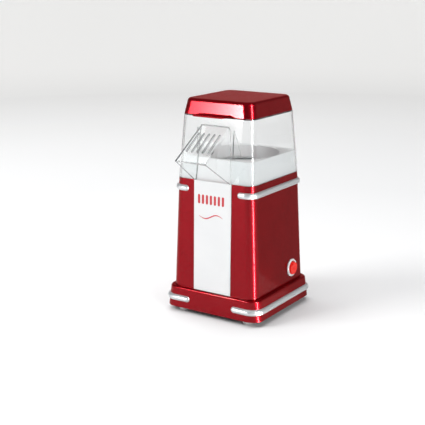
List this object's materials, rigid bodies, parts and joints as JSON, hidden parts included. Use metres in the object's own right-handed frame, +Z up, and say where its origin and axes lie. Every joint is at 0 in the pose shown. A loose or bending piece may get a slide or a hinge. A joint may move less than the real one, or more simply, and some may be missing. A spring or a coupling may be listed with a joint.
{
  "type": "popcorn maker",
  "caption": "Hot-air popcorn maker: tapered red tower on a stepped plinth, clear lift-off hood with pouring chute, measuring cap and round side switch.",
  "frame": {"origin": "bottom centre of the bounding box, on the surface that the feet stand on", "axes": "+Z up, -Y towards the chute and the front panel, +X towards the switch"},
  "size_m": [0.1564, 0.1942, 0.298],
  "materials": {
    "red_gloss": "metallic red, glossy",
    "clear_plastic": "clear, glossy",
    "white_plastic": "satin white",
    "trim_silver": "satin silver",
    "rocker_red": "glossy red",
    "steel": "bright",
    "brass": "satin",
    "black_rubber": "matt",
    "dark_plastic": "matt",
    "white_rubber": "matt",
    "aluminium": "satin",
    "sheet_steel": "galvanised",
    "mica": "matt",
    "coil_wire": "oxidised",
    "impeller_plastic": "matt",
    "magnet": "matt",
    "armature": "satin",
    "board_green": "matt"
  },
  "bodies": {
    "base": {"collar": "white_plastic", "front_panel": "white_plastic", "body_shell": "red_gloss", "plinth": "red_gloss", "upper_trim_band": "trim_silver", "lower_trim_band": "trim_silver", "switch_housing": "white_plastic", "switch_pin": "steel", "switch_terminals": "brass", "cord_gland": "black_rubber", "base_plate": "dark_plastic", "feet": "white_rubber", "foot_screws": "steel", "popping_chamber": "aluminium", "air_duct": "sheet_steel", "heater_frame": "mica", "heater_coil": "coil_wire", "thermostat": "steel", "thermal_fuse": "mica", "fan_housing": "dark_plastic", "housing_screws": "steel", "motor_can": "sheet_steel", "motor_magnets": "magnet", "motor_bushes": "brass", "motor_end_cap": "dark_plastic", "motor_screws": "steel", "rectifier_board": "board_green", "rectifier_diodes": "dark_plastic"},
    "hood": {"hood": "clear_plastic", "chute": "clear_plastic"},
    "cap": {"measuring_cap": "red_gloss"},
    "rocker": {"switch_rocker": "rocker_red"},
    "rotor": {"impeller": "impeller_plastic", "motor_shaft": "steel", "motor_armature": "armature"}
  },
  "joints": [
    {"name": "hood_lift", "type": "slide", "parent": "base", "child": "hood", "axis": [0, 0, 1], "range_m": [0, 0.16]},
    {"name": "cap_lift", "type": "slide", "parent": "hood", "child": "cap", "axis": [0, 0, 1], "range_m": [0, 0.06]},
    {"name": "rocker_tip", "type": "hinge", "parent": "base", "child": "rocker", "pos_m": [0.06463, 0.0519, 0.05592], "axis": [0, -1, 0], "range_deg": [0, 14]},
    {"name": "fan_spin", "type": "hinge", "parent": "base", "child": "rotor", "pos_m": [0, 0.0194, 0.08], "axis": [0, 0, 1], "continuous": true}
  ]
}
